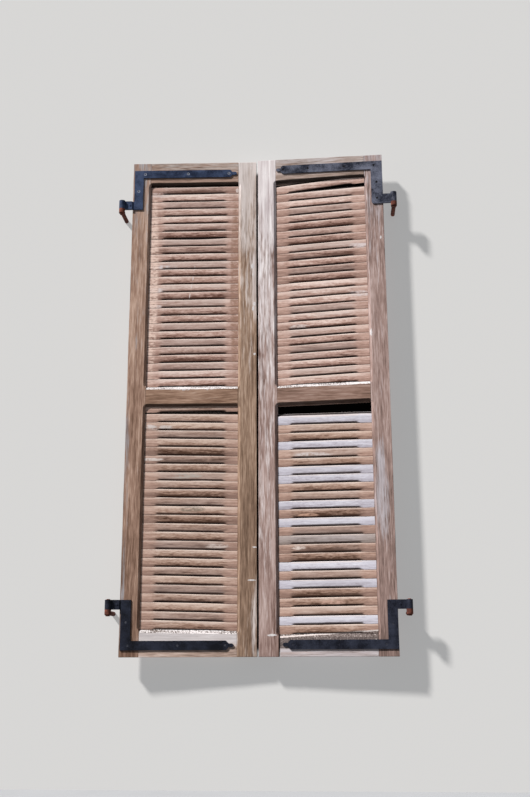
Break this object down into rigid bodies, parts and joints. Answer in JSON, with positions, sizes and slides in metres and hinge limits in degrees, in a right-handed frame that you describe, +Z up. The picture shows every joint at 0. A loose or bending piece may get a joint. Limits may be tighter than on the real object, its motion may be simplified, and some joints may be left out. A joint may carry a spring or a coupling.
{
  "type": "window shutters",
  "caption": "Closed pair of weathered louvred wooden window shutters with stacked slats, hung by iron corner straps on wall pintles.",
  "frame": {"origin": "centre of the bounding box in X and Y, at the foot of the two leaves", "axes": "+Z up, +Y from the weather side into the wall, X along the window with the left leaf on -X as seen from the weather side"},
  "size_m": [1.2142, 0.118, 2.134],
  "materials": {
    "frame_wood": "weathered brown stain over grey wood, flaking white and grey",
    "slat_wood": "faded pinkish brown stain, dry and matt",
    "pale_slat_wood": "weathered to a pale blue grey",
    "grey_slat_wood": "weathered grey",
    "painted_iron": "blue-black paint, chipped and specked with rust",
    "fastener_iron": "dark, partly rusted",
    "rusty_iron": "rusted red brown"
  },
  "bodies": {
    "pintles": {"left_top_pintle": "rusty_iron", "left_bottom_pintle": "rusty_iron", "right_top_pintle": "rusty_iron", "right_bottom_pintle": "rusty_iron"},
    "left_leaf": {"left_outer_stile": "frame_wood", "left_meeting_stile": "frame_wood", "left_top_rail": "frame_wood", "left_mid_rail": "frame_wood", "left_bottom_rail": "frame_wood", "left_upper_slats": "slat_wood", "left_lower_slats": "slat_wood", "left_lifted_slat": "slat_wood", "left_top_strap": "painted_iron", "left_top_screws": "fastener_iron", "left_top_rivet": "fastener_iron", "left_bottom_strap": "painted_iron", "left_bottom_screws": "fastener_iron", "left_bottom_rivet": "fastener_iron"},
    "right_leaf": {"right_outer_stile": "frame_wood", "right_meeting_stile": "frame_wood", "right_top_rail": "frame_wood", "right_mid_rail": "frame_wood", "right_bottom_rail": "frame_wood", "right_upper_slats": "slat_wood", "right_loose_slat": "slat_wood", "right_lower_slats": "slat_wood", "right_lower_pale_slats": "pale_slat_wood", "right_lower_grey_slat": "grey_slat_wood", "right_top_strap": "painted_iron", "right_top_screws": "fastener_iron", "right_bottom_strap": "painted_iron", "right_bottom_screws": "fastener_iron", "right_bottom_rivet": "fastener_iron"}
  },
  "joints": [
    {"name": "left_leaf_hinge", "type": "hinge", "parent": "pintles", "child": "left_leaf", "pos_m": [-0.594, -0.04596, 0], "axis": [0, 0, 1], "range_deg": [-180, 0]},
    {"name": "right_leaf_hinge", "type": "hinge", "parent": "pintles", "child": "right_leaf", "pos_m": [0.594, -0.04596, 0], "axis": [0, 0, 1], "range_deg": [0, 180]}
  ]
}
